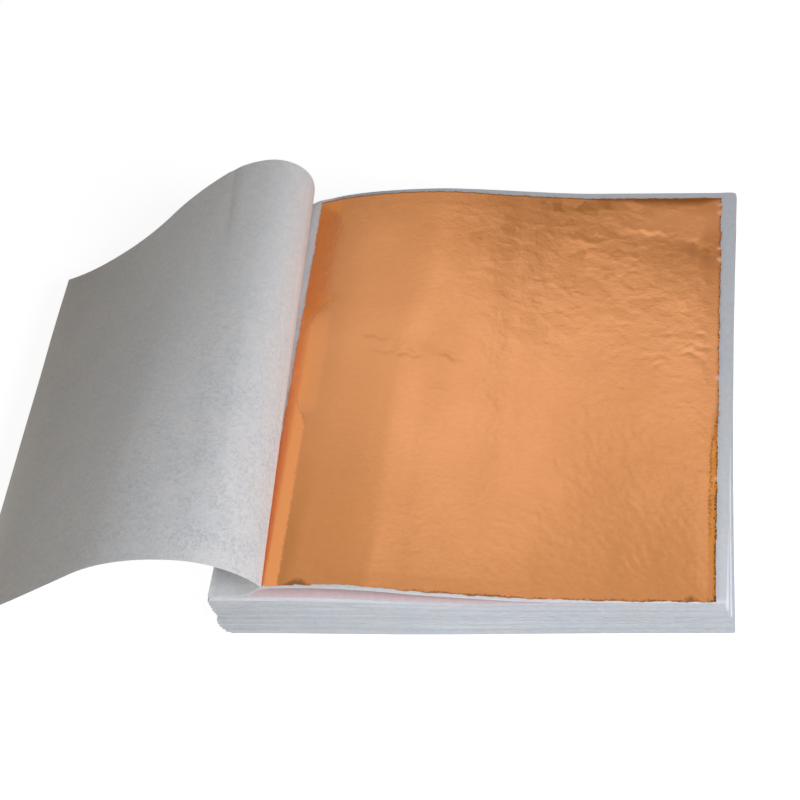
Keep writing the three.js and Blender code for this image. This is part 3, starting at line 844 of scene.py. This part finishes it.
def make_leaf():
    left = TOP_FOLD_X + LEAF_FROM_FOLD
    # the foil's width runs along the curve of the page
    fine = np.arange(left, left + LEAF_WIDTH + 5, 0.05)
    length = np.concatenate([[0], np.cumsum(np.hypot(np.diff(fine), np.diff(page_height(fine, 0.5))))])
    u, v = np.meshgrid(*(np.linspace(0, size, int(size / LEAF_GRID) + 1) for size in (LEAF_WIDTH, LEAF_DEPTH)))
    from_right, from_back = LEAF_WIDTH - u, LEAF_DEPTH - v
    x = np.interp(u, length, fine)
    x = x + near_edge(u) * torn(v, 21, 0.2) + near_edge(from_right) * torn(v, 24, 0.16)
    y = TOP_FRONT_Y + LEAF_FROM_FRONT + v
    y = y + near_edge(v) * torn(u, 27, 0.2) + near_edge(from_back) * torn(u, 30, 0.15)
    # the front edge runs out a little at the right and in at the left, and the back edge out at the left
    y = y + rise(v, 8, 0) * (0.3 * np.exp(-((u - 19) / 7)**2) - 0.28 * rise(u, 56, 72))
    y = y + rise(v, 60, LEAF_DEPTH) * read(BACK_EDGE_RUN_OUT, u)
    z = page_height(x, (y - TOP_FRONT_Y) / TISSUE_DEPTH) + SHEET_CLEARANCE + (TISSUE_SOLID + LEAF_SOLID) / 2
    facet_relief, facet_shading = facets(u, v)
    inside = rise(np.minimum.reduce([u, v, from_right, from_back]), 0, 3)
    z = z + leaf_relief(u, v, facet_relief) * (0.3 + 0.7 * inside)
    strip = rise(from_right, FOLDED_EDGE_WIDTH, 0) * rise(v, FOLDED_EDGE_LENGTH, FOLDED_EDGE_LENGTH - 8)
    z = z + strip * (0.10 + 0.05 * smooth_noise(v / 2.5, 0 * v, 51))
    points, faces = sheet(np.stack([x, y, z], -1), LEAF_THICKNESS)
    piece = new_object("foil_leaf", points, faces, FOIL, 60)
    edges = {"from_left": u, "from_right": from_right, "from_front": v, "from_back": from_back}
    set_sheet_attributes(piece, {**edges, **painted_leaf_light(u, v, facet_shading)})
    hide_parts("leaf_01")
    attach(piece, "top_leaf")


make_leaf()


# The stack: every node becomes five thin folded tissues, pressed together round its foil
STACK_ROWS = np.array([0, 0.006, 0.014, 0.024, 0.04, 0.08, 0.18, 0.32, 0.5, 0.68, 0.84, 0.94, 0.98, 1])
RUN_PLACES = np.concatenate([np.linspace(SWELL_START, SWELL_END, 9), [60, 72, 84]])
FOLD_ARC = 5
# From the bottom, counted from 0: the top folds have painted light at their left, and a few more are lighter at
# the fore-edge
CROWN_FOLDS = 21
LIGHT_FOLDS = (9, 10, 13, 14, 15, 16)
PINK_FOLDS = (17, 18, 19)


def folded_sheet(index, layer, draws):
    """One folded tissue, as a closed outline swept from front to back."""
    share = (index + (layer + 0.5) / FOLDS_PER_NODE) / FOLDS_IN_STACK
    step_back = FORE_EDGE_SETBACK * max(0, 2 * share - 1)
    lower = index < FOLDS_IN_LOWER_SECTION
    left = -read(FOLD_OUTLINE, share) + wander(index, 0.4) + draws[0]
    right = TISSUE_WIDTH - (0 if lower else UPPER_SECTION_TRIM) - step_back + wander(index, 1.7) + draws[1]
    base = index + layer / FOLDS_PER_NODE
    pitch = 1 / FOLDS_PER_NODE
    margin = 0.0 if index == 0 and layer == 0 else LAYER_MARGIN
    levels = [base + pitch * part for part in (margin, LAYER_SHARE, 1 - LAYER_SHARE, 1 - LAYER_MARGIN)]

    low, inner_low, inner_high, high = (float(level_height(level, left)) for level in levels)
    middle = (low + high) / 2
    outer, inner = (high - low) / 2, (inner_high - inner_low) / 2
    centre = left + outer

    def arc(radius, start, stop):
        angles = np.radians(np.linspace(start, stop, FOLD_ARC + 1))
        return np.stack([centre + radius * np.cos(angles), middle + radius * np.sin(angles)], -1)

    xs = np.append(RUN_PLACES, right)
    runs = [np.stack([xs, level_height(level, xs)], -1) for level in levels]
    outline = np.concatenate([
        arc(outer, 90, 270), runs[0], runs[1][::-1], arc(inner, 270, 90), runs[2], runs[3][::-1],
    ])
    front = FRONT_EDGE_SETBACK * index / FOLDS_IN_STACK + wander(index, 4.1) + draws[2]
    deep = STACK_ROWS[:, None]
    near_fore_edge = rise(outline[:, 0], SWELL_END, right)
    rows, count = len(STACK_ROWS), len(outline)
    points = np.empty((rows, count, 3))
    dip = FORE_EDGE_DIP * (1 - (2 * deep - 1)**2)
    points[..., 0] = outline[:, 0] + near_fore_edge * (step_back * deep - dip)
    points[..., 1] = front + (TISSUE_DEPTH - draws[2]) * deep
    points[..., 2] = outline[:, 1]
    if lower:
        # this section lies a little askew, and its front edges bow out
        bow = np.exp(-((outline[:, 0] - 36) / 24)**2) * (1 - deep)**6
        points[..., 1] -= FRONT_EDGE_BOW * bow
        pivot = np.array([TISSUE_WIDTH, 0])
        angle = math.radians(LOWER_SECTION_TURN)
        turn = np.array([[math.cos(angle), math.sin(angle)], [-math.sin(angle), math.cos(angle)]])
        points[..., :2] = (points[..., :2] - pivot) @ turn + pivot
    index_grid = np.arange(rows * count).reshape(rows, count)
    after = np.roll(index_grid, -1, axis=1)
    sides = np.stack([index_grid[:-1], index_grid[1:], after[1:], after[:-1]], -1).reshape(-1, 4).tolist()
    return points.reshape(-1, 3), sides, cap_faces(count)


def cap_faces(count):
    """Quads that close the end of the folded outline: the outer and inner lines run side by side."""
    arc = FOLD_ARC + 1
    run = len(RUN_PLACES) + 1
    outer_arc = list(range(arc))
    low_run = list(range(arc, arc + run))
    inner_low = list(range(arc + run, arc + 2 * run))[::-1]
    inner_arc = list(range(arc + 2 * run, 2 * arc + 2 * run))[::-1]
    inner_high = list(range(2 * arc + 2 * run, 2 * arc + 3 * run))
    high_run = list(range(2 * arc + 3 * run, 2 * arc + 4 * run))[::-1]
    outer = high_run[::-1] + outer_arc + low_run
    inner = inner_high[::-1] + inner_arc + inner_low
    return [[outer[k], outer[k + 1], inner[k + 1], inner[k]] for k in range(len(outer) - 1)]


def make_stack():
    draws = np.random.RandomState(5)
    for index in range(FOLDS_IN_STACK):
        number = f"{FOLDS_IN_STACK + 1 - index:02d}"
        all_points, all_faces, start = [], [], 0
        for layer in range(FOLDS_PER_NODE):
            offsets = draws.uniform(-SHEET_JITTER, SHEET_JITTER, 3)
            points, sides, cap = folded_sheet(index, layer, offsets)
            last = len(points) - len(points) // len(STACK_ROWS)
            all_points.append(points)
            all_faces += [[i + start for i in face] for face in sides + cap]
            all_faces += [[i + start + last for i in face[::-1]] for face in cap]
            start += len(points)
        points = np.concatenate(all_points)
        piece = new_object(f"folds_{number}", points, all_faces, STACK_TISSUE)
        x, y = points[:, 0], points[:, 1]
        fore_edge = rise(x, 88, 89.5) * rise(y, 0.7, 1.2)
        blush = crown = 0 * x
        if index == FOLDS_IN_STACK - 1:
            blush = rise(x, 9, 12) * rise(x, 70, 62) * rise(y, 0.3, 0.8) * rise(y, 86.5, 85)
        elif index in PINK_FOLDS:
            blush = 0.6 * fore_edge * rise(y, 9, 6)
        # painted light on the left part of the top folds
        if index >= CROWN_FOLDS:
            crown = 0.75 * rise(x, 56, 26)
        elif index in LIGHT_FOLDS:
            crown = 0.9 * fore_edge
        set_attribute(piece, "blush", blush)
        set_attribute(piece, "crown", crown)
        # painted shade: darker towards the right, and a little towards the far left
        set_attribute(piece, "shade", rise(x, 45, 80) + 0.35 * rise(x, 25, 10))
        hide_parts(f"tissue_{number}")
        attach(piece, "lower_section" if index < FOLDS_IN_LOWER_SECTION else "upper_section")


make_stack()

# The foil inside the closed tissues keeps its CAD solids
for node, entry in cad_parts.items():
    if node.startswith("leaf_") and node != "leaf_01":
        for material_slot in entry.material_slots:
            material_slot.material = FOIL


# Floor, lamps and surroundings
FLOOR_SIZE = 6
FLOOR_COLOUR = (0.82, 0.82, 0.83)
# The camera sees a floor that takes the shadow, up to the first distance, and plain white from the second on
FLOOR_SEEN_COLOUR = (0.42, 0.42, 0.42)
FLOOR_SEEN_LIFT = 0.87
SHADOW_END = 0.09
WHITE_START = 0.17
# What metal sees, and the dim light that the surroundings give
ROOM_COLOUR = (1.0, 1.0, 1.0)
CEILING_COLOUR = (0.45, 0.405, 0.32)
FRONT_COLOUR = (1.2, 1.2, 1.2)
SURROUNDING_LIGHT = (1.0, 0.985, 0.96)
SURROUNDING_STRENGTH = 0.06
# Soft panels: the light they add, azimuth and elevation, and the angles where they are full and where they end
PANELS = [((0.27, 0.30, 0.34), 4, 63.4, 0, 10), ((0.34, 0.37, 0.38), -49.6, 76.2, 19, 34)]


def emptied(tree, output):
    """A tree with its output node alone, and that node's input."""
    tree.nodes.clear()
    nodes = Tree(tree)
    return nodes, nodes.new(output).inputs["Surface"]


def background_rays(nodes):
    """1 for rays from the camera, off a glossy surface or through a clear one."""
    path = nodes.new("ShaderNodeLightPath").outputs
    seen = nodes.greater(path["Is Camera Ray"], path["Is Glossy Ray"])
    return nodes.greater(seen, path["Is Transmission Ray"])


def make_floor():
    bpy.ops.mesh.primitive_plane_add(size=FLOOR_SIZE, location=(0, 0, 0))
    floor = bpy.context.object
    floor.name = "floor"
    material = bpy.data.materials.new("floor")
    material.use_nodes = True
    nodes, output = emptied(material.node_tree, "ShaderNodeOutputMaterial")
    plain = nodes.surface("ShaderNodeBsdfDiffuse", Color=FLOOR_COLOUR)
    near = nodes.joined("ShaderNodeAddShader",
                        nodes.surface("ShaderNodeBsdfDiffuse", Color=FLOOR_SEEN_COLOUR),
                        nodes.surface("ShaderNodeEmission", Strength=FLOOR_SEEN_LIFT))
    white = nodes.surface("ShaderNodeEmission", Strength=1.0)
    distance = nodes.vector_maths("LENGTH", nodes.new("ShaderNodeTexCoord").outputs["Object"])
    whiter = nodes.remap(distance.outputs["Value"], SHADOW_END, WHITE_START, kind="SMOOTHSTEP")
    ground = nodes.joined("ShaderNodeMixShader", whiter, near, white)
    nodes.link(nodes.joined("ShaderNodeMixShader", background_rays(nodes), plain, ground), output)
    floor.data.materials.append(material)


def make_world():
    world = bpy.data.worlds.new("studio")
    bpy.context.scene.world = world
    world.use_nodes = True
    nodes, output = emptied(world.node_tree, "ShaderNodeOutputWorld")
    direction = nodes.new("ShaderNodeTexCoord").outputs["Generated"]
    separate = nodes.new("ShaderNodeSeparateXYZ")
    nodes.link(direction, separate.inputs[0])

    def lobe(azimuth, elevation, inner, outer):
        """Rises smoothly from 0 at the outer angle to 1 at the inner one. Azimuths run from +Y to +X."""
        turn, tilt = math.radians(azimuth), math.radians(elevation)
        dot = nodes.vector_maths("DOT_PRODUCT", direction)
        dot.inputs[1].default_value = (
            math.sin(turn) * math.cos(tilt), math.cos(turn) * math.cos(tilt), math.sin(tilt))
        limits = (math.cos(math.radians(angle)) for angle in (outer, inner))
        return nodes.remap(dot.outputs["Value"], *limits, kind="SMOOTHSTEP")

    # a pale room, a dim ceiling, and two soft panels high behind the booklet
    height = nodes.remap(separate.outputs["Z"], 0.25, 0.88, kind="SMOOTHSTEP")
    room = nodes.mix(height, ROOM_COLOUR, CEILING_COLOUR)
    for colour, azimuth, elevation, inner, outer in PANELS:
        room = nodes.mix(lobe(azimuth, elevation, inner, outer), room, colour, "ADD")
    # the front half is bright, so that a curled edge glints
    front = nodes.remap(separate.outputs["Y"], -0.02, -0.4, kind="SMOOTHSTEP")
    seen = nodes.surface("ShaderNodeBackground", Color=nodes.mix(front, room, FRONT_COLOUR))
    light = nodes.surface("ShaderNodeBackground", Color=SURROUNDING_LIGHT, Strength=SURROUNDING_STRENGTH)
    nodes.link(nodes.joined("ShaderNodeMixShader", background_rays(nodes), light, seen), output)


def area_lamp(name, place, target, size, watts, colour):
    data = bpy.data.lights.new(name, "AREA")
    data.shape = "SQUARE"
    data.size = size
    data.energy = watts
    data.color = colour
    lamp = bpy.data.objects.new(name, data)
    bpy.context.collection.objects.link(lamp)
    lamp.location = place
    lamp.rotation_euler = (Vector(target) - Vector(place)).to_track_quat("-Z", "Y").to_euler()
    lamp.visible_glossy = False


make_floor()
make_world()
area_lamp("key", place=(0.204, -0.122, 0.197), target=(-0.01, 0, 0.015), size=0.12, watts=0.69,
          colour=(0.96, 0.985, 1.03))
area_lamp("fill", place=(-0.53, -0.66, 0.21), target=(0, 0, 0.01), size=0.30, watts=3.3,
          colour=(1.0, 0.975, 0.94))

bpy.context.scene.view_settings.view_transform = "Standard"
